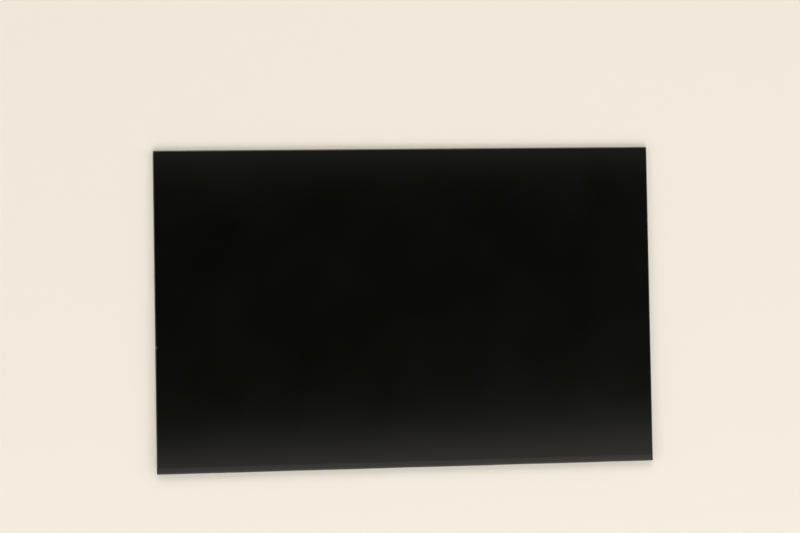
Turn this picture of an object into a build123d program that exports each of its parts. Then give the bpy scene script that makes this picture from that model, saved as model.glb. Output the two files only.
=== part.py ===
"""A bare laptop screen panel of the 14-inch 16:10 class, as the stack of pieces that it comes apart into.

The panel lies on its back with the screen up. X runs across the screen, Y towards the screen's top edge
and Z out of the screen. The origin is the middle of the outline, on the surface that the panel lies on.
All lengths are millimetres.
"""

import os

from build123d import *

os.makedirs("parts", exist_ok=True)

# Picture area and the borders beside and above it
picture_width = 301.6
picture_height = 188.5
side_border = 2.5
top_border = 2.6

# Glass cell: two sheets of glass between two polarisers
glass_gauge = 0.3
glass_inset = 0.25
glass_corner = 0.5
polariser_gauge = 0.15
polariser_inset = 0.4
rear_polariser_margin = 0.35
seal_width = 2.0
cell_tape_gauge = 0.1
cell_tape_inset = 0.2

# Backlight sheets, from the light guide to the frame's ledge
reflector_gauge = 0.12
guide_gauge = 0.55
diffuser_gauge = 0.12
prism_gauge = 0.15
film_play = 0.05
film_gap = 0.15
sheet_margin = 1.2
sheet_clearance = 0.2
guide_lead = 2.05
ear_width = 6.0
ear_reach = 0.45
ear_spacing = 110.0

# Moulded mid frame
ledge_gauge = 0.35
window_margin = 0.6
frame_corner = 0.8
rail_depth = 2.7
nose_clearance = 0.05
stop_width = 0.2
stop_gap = 0.1

# Pressed rear cover
cover_gauge = 0.25
cover_wall = 1.05
cover_bend = 0.4
cover_fit = 0.05
cover_tuck = 0.7
corner_relief = 1.2
press_depth = 0.2
press_slope = 45.0
land_width = 9.0
land_end = 19.25
land_inset = 6.0
land_corner = 2.0
bead_width = 6.0
bead_end = 40.8
bead_count = 4
bead_spacing = 32.0
press_middle = 8.0

# Snap hooks of the frame in windows of the cover's walls
side_snaps = 4
top_snaps = 6
snap_end = 33.0
snap_length = 5.0
snap_height = 0.4
snap_lift = 0.45
snap_reach = 0.2
snap_clearance = 0.06

# Light bar along the lower edge
led_count = 40
led_end = 6.5
led_length = 3.0
led_depth = 0.8
led_gap = 0.05
led_lift = 0.1
led_rim = 0.12
led_recess = 0.15
rail_gap = 0.1
bar_tape_gauge = 0.05
bar_overlap = 0.7
bar_end = 2.0
flex_gauge = 0.08
flex_gap = 0.05
tail_inset = 7.0
tail_width = 6.0
tail_run = 0.6
tail_bond = 1.8
tail_clearance = 0.5

# Source films, bent from the glass round the lower edge to the timing board
source_count = 4
source_end = 51.8
source_width = 38.0
source_gauge = 0.07
source_bond = 1.4
chip_length = 26.0
chip_width = 1.0
chip_height = 0.35

# Black tape over the bend
wrap_gauge = 0.08
wrap_gap = 0.15
wrap_rear_reach = 1.8

# Timing board on the back of the cover
board_end = 19.8
board_height = 10.5
board_gauge = 0.5
board_corner = 0.6
board_notch = 0.75
board_lift = 3.1
board_tape_gauge = 0.05
board_tape_inset = 0.5

# Foils that ground the board to the cover
foil_gauge = 0.05
foil_width = 14.0
foil_overlap = 1.6
foil_ease = 0.1
foil_ramp = 1.0
foil_reach = 8.0

# Display connector with its mouth towards the lower edge
connector_height = 1.1
connector_width = 18.4
connector_depth = 3.8
connector_setback = 0.5
mouth_depth = 2.4
mouth_side = 1.3
mouth_roof = 0.28
shell_gauge = 0.12
shell_cutback = 0.7
shell_foot = 0.7
shell_foot_length = 1.4
shell_window = 2.4
shell_window_depth = 0.8
shell_window_spacing = 5.2
shell_window_count = 3
contact_count = 30
contact_pitch = 0.5
contact_width = 0.2
contact_gauge = 0.12
contact_recess = 0.4
contact_tail = 0.7
contact_fit = 0.02

# Parts soldered to the board
package_height = 0.75
package_bevel = 0.06
controller_size = 6.0
power_size = 4.0
driver_size = 3.5
shifter_size = 4.0
memory_length = 3.0
memory_width = 2.0
memory_x = 10.5
inductor_size = 3.6
inductor_height = 1.0
inductor_corner = 0.5
inductor_spacing = 13.0
bulk_length = 2.0
bulk_width = 1.25
bulk_height = 0.85
bulk_gap = 1.2
bulk_pitch = 2.8
fuse_length = 1.6
fuse_width = 0.8
fuse_height = 0.6
fuse_gap = 5.0
capacitor_length = 1.0
capacitor_width = 0.5
capacitor_height = 0.5
capacitor_pitch = 1.5
chip_row_count = 7
end_row_count = 6
resistor_length = 1.0
resistor_width = 0.5
resistor_height = 0.35
resistor_pitch = 1.2
connector_row_count = 12
shifter_row_count = 8
diode_length = 1.7
diode_width = 1.25
diode_height = 0.8
diode_pitch = 4.0
chip_row_gap = 0.8

# Heights, from the surface under the panel up to the screen
board_rear = connector_height
board_front = board_rear + board_gauge
cover_back = board_front + board_tape_gauge
cover_inside = cover_back + cover_gauge
cover_wall_top = cover_back + cover_wall
guide_back = cover_inside + reflector_gauge
guide_front = guide_back + guide_gauge
flex_back = guide_front + bar_tape_gauge
diffuser_front = guide_front + diffuser_gauge
lower_prism_front = diffuser_front + prism_gauge
upper_prism_front = lower_prism_front + prism_gauge
ledge_back = upper_prism_front + film_play
ledge_front = ledge_back + ledge_gauge
array_back = ledge_front + cell_tape_gauge
array_front = array_back + glass_gauge
filter_front = array_front + glass_gauge

# The bend round the lower edge
nose_radius = (array_front - board_rear) / 2 - nose_clearance
nose_z = (array_front + board_rear) / 2
bend_build_up = nose_clearance + source_gauge + wrap_gauge

# Outline, with the lower border added up from what lies in it
bottom_border = guide_lead + led_gap + led_depth + rail_gap + rail_depth + bend_build_up
outline_width = picture_width + 2 * side_border
outline_height = picture_height + top_border + bottom_border
right_edge = outline_width / 2
top_edge = outline_height / 2
bottom_edge = -top_edge

# Places up the screen
picture_top = top_edge - top_border
picture_bottom = picture_top - picture_height
picture_middle = (picture_top + picture_bottom) / 2
window_top = picture_top + window_margin
window_bottom = picture_bottom - window_margin
window_width = picture_width + 2 * window_margin
sheet_top = picture_top + sheet_margin
sheet_width = picture_width + 2 * sheet_margin
guide_bottom = picture_bottom - guide_lead
flex_top = guide_bottom + bar_overlap
film_bottom = flex_top + film_gap
led_face = guide_bottom - led_gap
rail_inside = led_face - led_depth - rail_gap
rail_outside = rail_inside - rail_depth
nose_y = rail_outside + nose_radius
glass_stop = nose_y + stop_width
array_bottom = glass_stop + stop_gap
glass_top = top_edge - glass_inset
glass_width = outline_width - 2 * glass_inset
filter_bottom = picture_bottom - seal_width
cover_bottom = rail_inside - cover_tuck
wall_right = right_edge - cover_gauge - cover_fit
wall_top = top_edge - cover_gauge - cover_fit
led_pitch = (picture_width - 2 * led_end) / (led_count - 1)
bar_length = (led_count - 1) * led_pitch + led_length + 2 * bar_end
land_length = picture_height - 2 * land_end
bead_length = picture_width - 2 * bead_end
board_width = picture_width - 2 * board_end
tail_x = board_width / 2 - tail_inset
board_bottom = nose_y + board_lift
board_top = board_bottom + board_height
parts_line = (board_bottom + source_bond + board_top) / 2
source_pitch = (picture_width - 2 * source_end) / (source_count - 1)
connector_x = -source_pitch
connector_front = board_bottom + connector_setback
connector_back = connector_front + connector_depth
source_places = [(index - (source_count - 1) / 2) * source_pitch for index in range(source_count)]


def plain_plan(back, width, bottom, top):
    """Plan of a rectangular sheet, centred across the panel, between a lower and an upper edge."""
    with BuildSketch(Plane.XY.offset(back)) as plan:
        with Locations((0, (bottom + top) / 2)):
            Rectangle(width, top - bottom)
    return plan.sketch


def glass_plan(back, bottom, inset):
    """Plan of a sheet of the glass cell, with clipped corners, set in from the edge of the glass."""
    with BuildSketch(Plane.XY.offset(back)) as plan:
        with Locations((0, (bottom + glass_top - inset) / 2)):
            Rectangle(glass_width - 2 * inset, glass_top - inset - bottom)
        chamfer(plan.vertices(), glass_corner)
    return plan.sketch


def sheet_plan(back, bottom, grow=0.0):
    """Plan of a backlight sheet with its locating ears, or of its pocket when grown by a clearance."""
    top = sheet_top + grow
    with BuildSketch(Plane.XY.offset(back)) as plan:
        with Locations((0, (bottom + top) / 2)):
            Rectangle(sheet_width + 2 * grow, top - bottom)
        with Locations((0, picture_middle)):
            with GridLocations(sheet_width, ear_spacing, 2, 2):
                Rectangle(2 * (ear_reach + grow), ear_width + 2 * grow)
    return plan.sketch


def folded_strip(x, fold_y, front_face, rear_face, front_end, rear_end, gauge):
    """Section of a thin strip that lies on a front face, bends round and ends on a rear face."""
    fold_z = (front_face + rear_face) / 2
    radius = (front_face - rear_face) / 2
    with BuildSketch(Plane.YZ.offset(x)) as section:
        with BuildLine():
            inner = CenterArc((fold_y, fold_z), radius, 90, 180)
            outer = CenterArc((fold_y, fold_z), radius + gauge, 90, 180)
            Polyline(inner @ 0, (front_end, front_face), (front_end, front_face + gauge), outer @ 0)
            Polyline(inner @ 1, (rear_end, rear_face), (rear_end, rear_face - gauge), outer @ 1)
        make_face()
    return section.sketch


def snap_planes():
    """Planes across each snap, on the frame's outer walls, with the first axis outwards, the second up."""
    planes = []
    for index in range(side_snaps):
        y = (index / (side_snaps - 1) - 0.5) * (outline_height - 2 * snap_end)
        planes.append(Plane((wall_right, y, 0), x_dir=(1, 0, 0), z_dir=(0, -1, 0)))
        planes.append(Plane((-wall_right, y, 0), x_dir=(-1, 0, 0), z_dir=(0, 1, 0)))
    for index in range(top_snaps):
        x = (index / (top_snaps - 1) - 0.5) * (outline_width - 2 * snap_end)
        planes.append(Plane((x, wall_top, 0), x_dir=(0, 1, 0), z_dir=(1, 0, 0)))
    return planes


def save(piece, name):
    """Label a finished piece and write it as the node of that name."""
    piece.part.label = name
    export_step(piece.part, f"parts/{name}.step")


# Glass cell, from the front
with BuildPart() as front_polariser:
    polariser_bottom = filter_bottom + polariser_inset
    extrude(glass_plan(filter_front, polariser_bottom, polariser_inset), amount=polariser_gauge)
save(front_polariser, "front_polariser")

with BuildPart() as colour_filter_glass:
    extrude(glass_plan(array_front, filter_bottom, 0), amount=glass_gauge)
save(colour_filter_glass, "colour_filter_glass")

with BuildPart() as array_glass:
    extrude(glass_plan(array_back, array_bottom, 0), amount=glass_gauge)
save(array_glass, "array_glass")

with BuildPart() as rear_polariser:
    margin = rear_polariser_margin
    width = picture_width + 2 * margin
    extrude(
        plain_plan(array_back, width, picture_bottom - margin, picture_top + margin),
        amount=-polariser_gauge,
    )
save(rear_polariser, "rear_polariser")

with BuildPart() as cell_tape:
    inset = cell_tape_inset
    extrude(
        plain_plan(ledge_front, glass_width - 2 * inset, array_bottom + inset, glass_top - inset),
        amount=cell_tape_gauge,
    )
    extrude(
        plain_plan(ledge_front, window_width + 2 * inset, window_bottom - inset, window_top + inset),
        amount=cell_tape_gauge,
        mode=Mode.SUBTRACT,
    )
save(cell_tape, "cell_tape")

# Backlight sheets
with BuildPart() as upper_prism_film:
    extrude(sheet_plan(lower_prism_front, film_bottom), amount=prism_gauge)
save(upper_prism_film, "upper_prism_film")

with BuildPart() as lower_prism_film:
    extrude(sheet_plan(diffuser_front, film_bottom), amount=prism_gauge)
save(lower_prism_film, "lower_prism_film")

with BuildPart() as diffuser_film:
    extrude(sheet_plan(guide_front, film_bottom), amount=diffuser_gauge)
save(diffuser_film, "diffuser_film")

with BuildPart() as light_guide:
    extrude(sheet_plan(guide_back, guide_bottom), amount=guide_gauge)
save(light_guide, "light_guide")

with BuildPart() as reflector_sheet:
    extrude(sheet_plan(cover_inside, rail_inside + sheet_clearance), amount=reflector_gauge)
save(reflector_sheet, "reflector_sheet")

# Light bar: the flex lies on the guide's lower strip and carries the lamps under its outer half
with BuildPart() as light_bar_tape:
    extrude(plain_plan(guide_front, bar_length, guide_bottom, flex_top), amount=bar_tape_gauge)
save(light_bar_tape, "light_bar_tape")

with BuildPart() as light_bar_flex:
    flex_bottom = rail_inside + flex_gap
    extrude(plain_plan(flex_back, bar_length, flex_bottom, flex_top), amount=flex_gauge)
    tail = folded_strip(
        tail_x,
        rail_inside - tail_run,
        flex_back,
        board_rear,
        flex_top,
        board_bottom + tail_bond,
        flex_gauge,
    )
    extrude(tail, amount=tail_width / 2, both=True)
save(light_bar_flex, "light_bar_flex")

with BuildPart() as light_bar_leds:
    led_back = guide_back + led_lift
    with BuildSketch(Plane.XY.offset(led_back)):
        with Locations((0, led_face - led_depth / 2)):
            with GridLocations(led_pitch, led_depth, led_count, 1):
                Rectangle(led_length, led_depth)
    extrude(amount=flex_back - led_back)
    with BuildSketch(Plane.XZ.offset(-led_face)):
        with Locations((0, (led_back + flex_back) / 2)):
            with GridLocations(led_pitch, led_depth, led_count, 1):
                Rectangle(led_length - 2 * led_rim, flex_back - led_back - 2 * led_rim)
    extrude(amount=led_recess, mode=Mode.SUBTRACT)
save(light_bar_leds, "light_bar_leds")

# Mid frame: walls round the sheets, a ledge that carries the glass and a round-nosed rail below
with BuildSketch(Plane.YZ.offset(-right_edge)) as rail_section:
    with BuildLine():
        nose = CenterArc((nose_y, nose_z), nose_radius, 90, 180)
        Polyline(
            nose @ 1,
            (cover_bottom - cover_fit, nose_z - nose_radius),
            (cover_bottom - cover_fit, cover_inside),
            (rail_inside, cover_inside),
            (rail_inside, ledge_front),
            (glass_stop, ledge_front),
            (glass_stop, nose_z + nose_radius),
            nose @ 0,
        )
    make_face()

with BuildPart() as mid_frame:
    wall_height = ledge_back - cover_inside
    extrude(plain_plan(cover_inside, 2 * wall_right, cover_bottom, wall_top), amount=wall_height)
    floor_edges = mid_frame.faces().sort_by(Axis.Z)[0].edges().sort_by(Axis.Y)
    chamfer(floor_edges[1:], cover_bend - cover_gauge)
    lip_back = cover_wall_top + cover_fit
    extrude(plain_plan(lip_back, outline_width, cover_bottom, top_edge), amount=ledge_front - lip_back)
    extrude(rail_section.sketch, amount=outline_width)
    upper_corners = mid_frame.edges().filter_by(Axis.Z).group_by(Axis.Y)[-1]
    fillet(upper_corners, frame_corner)
    extrude(
        sheet_plan(cover_inside, rail_inside, sheet_clearance),
        amount=wall_height,
        mode=Mode.SUBTRACT,
    )
    extrude(
        plain_plan(ledge_back, window_width, window_bottom, window_top),
        amount=ledge_gauge,
        mode=Mode.SUBTRACT,
    )
    with BuildSketch(Plane.YZ.offset(tail_x)):
        with Locations(((bottom_edge + rail_inside) / 2, ledge_back / 2)):
            Rectangle(rail_inside - bottom_edge, ledge_back)
    extrude(amount=tail_width / 2 + tail_clearance, both=True, mode=Mode.SUBTRACT)
    snap_back = cover_back + snap_lift
    for plane in snap_planes():
        with BuildSketch(plane):
            with BuildLine():
                Polyline(
                    (0, snap_back),
                    (snap_reach, snap_back + snap_height / 2),
                    (snap_reach, snap_back + snap_height),
                    (-cover_fit, snap_back + snap_height),
                    (-cover_fit, snap_back),
                    close=True,
                )
            make_face()
        extrude(amount=snap_length / 2, both=True)
save(mid_frame, "mid_frame")

# Rear cover: a thin pressed tray with three folded walls, stiffening beads and lands for mounting tape
with BuildPart() as rear_cover:
    with BuildSketch(Plane.XY.offset(cover_back)):
        with Locations((0, (cover_bottom + top_edge) / 2)):
            Rectangle(outline_width, top_edge - cover_bottom)
            with GridLocations(outline_width, top_edge - cover_bottom, 2, 2):
                Rectangle(2 * corner_relief, 2 * corner_relief, mode=Mode.SUBTRACT)
    extrude(amount=cover_gauge)
    side_length = top_edge - cover_bottom - 2 * corner_relief
    with BuildSketch(Plane.XY.offset(cover_back)):
        with Locations((0, (cover_bottom + top_edge) / 2)):
            with GridLocations(outline_width - cover_gauge, 1, 2, 1):
                Rectangle(cover_gauge, side_length)
        with Locations((0, top_edge - cover_gauge / 2)):
            Rectangle(outline_width - 2 * corner_relief, cover_gauge)
    extrude(amount=cover_wall)
    back_edges = rear_cover.faces().sort_by(Axis.Z)[0].edges()
    side_bends = [back_edges.sort_by(Axis.X)[0], back_edges.sort_by(Axis.X)[-1]]
    fillet(side_bends + [back_edges.sort_by(Axis.Y)[-1]], cover_bend)
    inner_edges = rear_cover.edges().filter_by_position(Axis.Z, cover_inside, cover_inside)
    inner_sides = [inner_edges.sort_by(Axis.X)[0], inner_edges.sort_by(Axis.X)[-1]]
    fillet(inner_sides + [inner_edges.sort_by(Axis.Y)[-1]], cover_bend - cover_gauge)
    for face_z, how in ((cover_back, Mode.ADD), (cover_inside, Mode.SUBTRACT)):
        with BuildSketch(Plane.XY.offset(face_z)):
            with Locations((0, press_middle)):
                with GridLocations(outline_width - 2 * land_inset - land_width, 1, 2, 1):
                    RectangleRounded(land_width, land_length, land_corner)
                with GridLocations(1, bead_spacing, 1, bead_count):
                    SlotOverall(bead_length, bead_width)
        extrude(amount=-press_depth, taper=press_slope, mode=how)
    for plane in snap_planes():
        with BuildSketch(plane):
            with Locations((cover_fit + cover_gauge / 2, snap_back + snap_height / 2)):
                Rectangle(2 * cover_gauge, snap_height + 2 * snap_clearance)
        extrude(amount=snap_length / 2 + snap_clearance, both=True, mode=Mode.SUBTRACT)
save(rear_cover, "rear_cover")

# Source films with their driver chips on the inner side
for number, x in enumerate(source_places, start=1):
    with BuildPart() as source_film:
        strip = folded_strip(
            x,
            nose_y,
            array_front,
            board_rear,
            array_bottom + source_bond,
            board_bottom + source_bond,
            source_gauge,
        )
        extrude(strip, amount=source_width / 2, both=True)
    save(source_film, f"source_film_{number}")

    with BuildPart() as source_chip:
        on_film = (Align.CENTER, Align.CENTER, Align.MIN)
        with Locations((x, (cover_bottom + board_bottom) / 2, board_rear)):
            Box(chip_length, chip_width, chip_height, align=on_film)
    save(source_chip, f"source_chip_{number}")

# Black tape over the bend, cut away behind at the light bar's tail and in front of the connector
with BuildPart() as edge_tape:
    wrap = folded_strip(
        0,
        nose_y,
        array_front + source_gauge,
        board_rear - source_gauge,
        filter_bottom - wrap_gap,
        nose_y + wrap_rear_reach,
        wrap_gauge,
    )
    extrude(wrap, amount=glass_width / 2, both=True)
    connector_span = connector_width + 2 * (shell_gauge + shell_foot)
    for x, span in ((tail_x, tail_width), (connector_x, connector_span)):
        with BuildSketch(Plane.XY.offset(nose_z)):
            with Locations((x, nose_y)):
                Rectangle(span + 2 * tail_clearance, 2 * (nose_y - bottom_edge + wrap_rear_reach))
        extrude(amount=-nose_z, mode=Mode.SUBTRACT)
save(edge_tape, "edge_tape")

# Timing board, its tape and its ground foils
with BuildPart() as timing_board:
    with BuildSketch(Plane.XY.offset(board_rear)):
        with Locations((0, (board_bottom + board_top) / 2)):
            RectangleRounded(board_width, board_height, board_corner)
            with GridLocations(board_width, 1, 2, 1):
                Circle(board_notch, mode=Mode.SUBTRACT)
    extrude(amount=board_gauge)
save(timing_board, "timing_board")

with BuildPart() as board_tape:
    inset = board_tape_inset + board_notch
    extrude(
        plain_plan(board_front, board_width - 2 * inset, board_bottom + inset, board_top - inset),
        amount=board_tape_gauge,
    )
save(board_tape, "board_tape")

for x, name in ((source_places[0], "ground_foil_left"), (source_places[-1], "ground_foil_right")):
    with BuildPart() as ground_foil:
        with BuildSketch(Plane.YZ.offset(x)):
            with BuildLine():
                Polyline(
                    (board_top - foil_overlap, board_rear),
                    (board_top + foil_ease, board_rear),
                    (board_top + foil_ease + foil_ramp, cover_back),
                    (board_top + foil_reach, cover_back),
                    (board_top + foil_reach, cover_back - foil_gauge),
                    (board_top + foil_ease + foil_ramp, cover_back - foil_gauge),
                    (board_top + foil_ease, board_rear - foil_gauge),
                    (board_top - foil_overlap, board_rear - foil_gauge),
                    close=True,
                )
            make_face()
        extrude(amount=foil_width / 2, both=True)
    save(ground_foil, name)

# Display connector: moulded housing, folded shell and a row of flat contacts in grooves
on_board = (Align.CENTER, Align.CENTER, Align.MAX)

with BuildPart() as connector_housing:
    with Locations((connector_x, (connector_front + connector_back) / 2, board_rear)):
        Box(connector_width, connector_depth, connector_height - shell_gauge, align=on_board)
    with Locations((connector_x, connector_front + mouth_depth / 2, board_rear - contact_gauge)):
        Box(
            connector_width - 2 * mouth_side,
            mouth_depth,
            connector_height - shell_gauge - mouth_roof - contact_gauge,
            align=on_board,
            mode=Mode.SUBTRACT,
        )
    with BuildSketch(Plane.XY.offset(board_rear)):
        with Locations((connector_x, (connector_front + connector_back) / 2)):
            with GridLocations(contact_pitch, 1, contact_count, 1):
                Rectangle(contact_width + 2 * contact_fit, connector_depth)
    extrude(amount=-contact_gauge, mode=Mode.SUBTRACT)
save(connector_housing, "connector_housing")

with BuildPart() as connector_shell:
    shell_back = connector_back - shell_cutback
    shell_middle = (connector_front + shell_back) / 2
    with BuildSketch(Plane.XZ.offset(-connector_front)):
        with Locations((connector_x, connector_height / 2)):
            Rectangle(connector_width + 2 * shell_gauge, connector_height)
        with Locations((connector_x, connector_height - shell_gauge / 2)):
            Rectangle(connector_width + 2 * (shell_gauge + shell_foot), shell_gauge)
        with Locations((connector_x, (connector_height + shell_gauge) / 2)):
            Rectangle(connector_width, connector_height - shell_gauge, mode=Mode.SUBTRACT)
    extrude(amount=connector_front - shell_back)
    with BuildSketch(Plane.XY.offset(board_rear)):
        with Locations((connector_x, shell_middle)):
            with GridLocations(connector_width + 2 * shell_gauge + shell_foot, 1, 2, 1):
                Rectangle(shell_foot, shell_back - connector_front)
                Rectangle(shell_foot, shell_foot_length, mode=Mode.SUBTRACT)
    extrude(amount=-shell_gauge, mode=Mode.SUBTRACT)
    with BuildSketch(Plane.XY):
        with Locations((connector_x, shell_middle)):
            with GridLocations(shell_window_spacing, 1, shell_window_count, 1):
                Rectangle(shell_window, shell_window_depth)
    extrude(amount=shell_gauge, mode=Mode.SUBTRACT)
save(connector_shell, "connector_shell")

with BuildPart() as connector_contacts:
    contact_front = connector_front + contact_recess
    contact_back = connector_back + contact_tail
    with BuildSketch(Plane.XY.offset(board_rear)):
        with Locations((connector_x, (contact_front + contact_back) / 2)):
            with GridLocations(contact_pitch, 1, contact_count, 1):
                Rectangle(contact_width, contact_back - contact_front)
    extrude(amount=-contact_gauge)
save(connector_contacts, "connector_contacts")

# Packaged chips
power_x = source_places[1]
shifter_x = source_places[2]
driver_x = source_pitch
chips = [
    ("timing_controller", 0.0, controller_size, controller_size),
    ("power_chip", power_x, power_size, power_size),
    ("level_shifter", shifter_x, shifter_size, shifter_size),
    ("backlight_driver", driver_x, driver_size, driver_size),
    ("setting_memory", memory_x, memory_width, memory_length),
]
for name, x, width, height in chips:
    with BuildPart() as chip:
        with Locations((x, parts_line, board_rear)):
            Box(width, height, package_height, align=on_board)
        chamfer(chip.faces().sort_by(Axis.Z)[0].edges(), package_bevel)
    save(chip, name)

# Power inductors on both sides of the power chip and on one side of the backlight driver
inductor_offset = inductor_spacing / 2
inductor_places = [power_x - inductor_offset, power_x + inductor_offset, driver_x + inductor_offset]
for number, x in enumerate(inductor_places, start=1):
    with BuildPart() as inductor:
        with BuildSketch(Plane.XY.offset(board_rear)) as inductor_plan:
            with Locations((x, parts_line)):
                Rectangle(inductor_size, inductor_size)
            chamfer(inductor_plan.vertices(), inductor_corner)
        extrude(amount=-inductor_height)
        chamfer(inductor.faces().sort_by(Axis.Z)[0].edges(), package_bevel)
    save(inductor, f"inductor_{number}")

# Large capacitors beyond the inductors, and small ones in rows above and below each chip
bulk_offset = inductor_offset + (inductor_size + bulk_width) / 2 + bulk_gap
with BuildPart() as bulk_capacitors:
    bulk_places = [power_x - bulk_offset, power_x + bulk_offset, driver_x - inductor_offset]
    with Locations([(x, parts_line, board_rear) for x in bulk_places]):
        with GridLocations(1, bulk_pitch, 1, 2):
            Box(bulk_width, bulk_length, bulk_height, align=on_board)
save(bulk_capacitors, "bulk_capacitors")

row_offset = controller_size / 2 + chip_row_gap
with BuildPart() as capacitors:
    with Locations([(x, parts_line, board_rear) for x in (0, power_x, driver_x)]):
        with GridLocations(capacitor_pitch, 2 * row_offset, chip_row_count, 2):
            Box(capacitor_width, capacitor_length, capacitor_height, align=on_board)
    with Locations([(x, parts_line, board_rear) for x in (source_places[0], source_places[-1])]):
        with GridLocations(2 * capacitor_pitch, row_offset, end_row_count, 2):
            Box(capacitor_width, capacitor_length, capacitor_height, align=on_board)
save(capacitors, "capacitors")

# Resistors behind the connector and round the level shifter, and the input fuse beside the connector
with BuildPart() as resistors:
    with Locations((connector_x, parts_line + row_offset, board_rear)):
        with GridLocations(resistor_pitch, 1, connector_row_count, 1):
            Box(resistor_width, resistor_length, resistor_height, align=on_board)
    shifter_rows = shifter_size + 2 * chip_row_gap + resistor_length
    with Locations((shifter_x, parts_line, board_rear)):
        with GridLocations(resistor_pitch, shifter_rows, shifter_row_count, 2):
            Box(resistor_width, resistor_length, resistor_height, align=on_board)
save(resistors, "resistors")

with BuildPart() as input_fuse:
    fuse_x = connector_x + connector_width / 2 + fuse_gap
    with Locations((fuse_x, parts_line + row_offset, board_rear)):
        Box(fuse_length, fuse_width, fuse_height, align=on_board)
save(input_fuse, "input_fuse")

with BuildPart() as diodes:
    with Locations((driver_x + inductor_spacing, parts_line, board_rear)):
        with GridLocations(1, diode_pitch, 1, 2):
            Box(diode_width, diode_length, diode_height, align=on_board)
save(diodes, "diodes")

screen_front = filter_front + polariser_gauge
print(f"outline {outline_width:.1f} x {outline_height:.1f}, thickness {screen_front:.2f}")
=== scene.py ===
# %% [markdown]
# # A bare laptop screen, lying on its back
# The picture of a laptop comes from a module like this one: a glass cell behind a matte film, a thin lit
# stack behind the glass, and a narrow circuit board that is folded round to the back of the lower edge.
# The solids were made to size beforehand. They come in already in place, in metres, with Z out of the
# screen, and they are never moved here. Blender adds the finish of every surface, and the solder, copper
# and end caps that plain solids leave out.

# %% Load the solids
import math

import bmesh
import bpy
from mathutils import Matrix, Quaternion, Vector


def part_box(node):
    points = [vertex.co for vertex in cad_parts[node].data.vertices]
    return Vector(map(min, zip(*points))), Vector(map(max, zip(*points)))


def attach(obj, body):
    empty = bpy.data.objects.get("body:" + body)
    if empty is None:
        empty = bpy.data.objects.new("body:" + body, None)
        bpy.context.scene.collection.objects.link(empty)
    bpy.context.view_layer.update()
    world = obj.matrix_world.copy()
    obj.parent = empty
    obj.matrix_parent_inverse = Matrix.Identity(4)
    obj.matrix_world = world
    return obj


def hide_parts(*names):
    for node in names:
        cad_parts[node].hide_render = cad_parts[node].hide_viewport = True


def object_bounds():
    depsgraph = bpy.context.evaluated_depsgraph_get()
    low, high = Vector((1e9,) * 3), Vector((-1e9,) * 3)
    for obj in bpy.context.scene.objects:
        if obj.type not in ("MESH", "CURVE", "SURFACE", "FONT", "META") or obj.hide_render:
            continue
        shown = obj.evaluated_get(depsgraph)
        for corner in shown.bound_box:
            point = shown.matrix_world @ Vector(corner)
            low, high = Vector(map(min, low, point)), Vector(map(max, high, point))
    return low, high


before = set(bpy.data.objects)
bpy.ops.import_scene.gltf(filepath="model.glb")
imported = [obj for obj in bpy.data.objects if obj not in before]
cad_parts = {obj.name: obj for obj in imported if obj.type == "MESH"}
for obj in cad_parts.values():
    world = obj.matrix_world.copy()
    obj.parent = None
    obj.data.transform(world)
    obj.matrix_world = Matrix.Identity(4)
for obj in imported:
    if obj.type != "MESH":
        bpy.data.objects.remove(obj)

mm = 0.001
cad_low, cad_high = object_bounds()
print("solids:", len(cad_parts), "box in mm:", [round(value / mm, 2) for value in (*cad_low, *cad_high)])

# %% [markdown]
# ## The camera
# The panel fills most of the picture, seen from almost straight in front. A lens of 54 mm and a distance of
# 0.74 m give its edges the slight convergence that they have in the picture. The camera is set by what a
# photographer would say: the point it aims at, how far off it stands, how far it leans, and its small roll.

# %% Camera
image_width = 800
lens_in_pixels = 1200
sensor_width = 36.0
aim = Vector((-3.4, 25.6, 3.4)) * mm
distance = 741.4 * mm
lean_left = math.radians(4.57)
lean_down = math.radians(1.15)
roll = math.radians(-0.9)

sideways = Vector((-math.sin(lean_left), -math.sin(lean_down), 0.0))
back = sideways + Vector((0.0, 0.0, math.sqrt(1.0 - sideways.length_squared)))
right = (Vector((1.0, 0.0, 0.0)) - back * back.x).normalized()
right.rotate(Quaternion(back, roll))
axes = Matrix((right, back.cross(right), back)).transposed()

camera = bpy.data.objects.new("camera", bpy.data.cameras.new("camera"))
camera.data.sensor_width = sensor_width
camera.data.lens = sensor_width * lens_in_pixels / image_width
camera.matrix_world = Matrix.Translation(aim + back * distance) @ axes.to_4x4()
bpy.context.scene.collection.objects.link(camera)
bpy.context.scene.camera = camera
print("lens in mm:", camera.data.lens, "camera in mm:", [round(v / mm, 1) for v in camera.location])

# %% [markdown]
# ## Two small tools for finishes
# A finish is a node tree that ends in the Principled shader. Colours are written as the hex codes that a
# paint program shows, and one function turns them into the linear light that shaders work in. Another adds
# a node, fills its sockets and links it, so that every finish below reads as a short recipe.

# %% Colours and nodes
def colour(code):
    """An sRGB hex code as a linear colour."""
    channels = [int(code[start:start + 2], 16) / 255 for start in (1, 3, 5)]
    linear = [c / 12.92 if c <= 0.04045 else ((c + 0.055) / 1.055) ** 2.4 for c in channels]
    return (*linear, 1.0)


def add_node(tree, kind, settings, links=(), stops=()):
    """Add a node, set its sockets or properties, link its inputs and colour the stops of a ramp."""
    made = tree.nodes.new(kind)
    for name, value in settings.items():
        if isinstance(name, int) or name in made.inputs.keys():
            made.inputs[name].default_value = value
        else:
            setattr(made, name, value)
    for name, source in dict(links).items():
        tree.links.new(source, made.inputs[name])
    for _ in stops[2:]:
        made.color_ramp.elements.new(1.0)
    for stop, (place, code) in zip(made.color_ramp.elements if stops else (), stops):
        stop.position = place
        stop.color = colour(code)
    return made


def per_metre(size):
    """The scale at which a pattern repeats about once in a size in millimetres."""
    return 1.0 / (size * mm)


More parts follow.
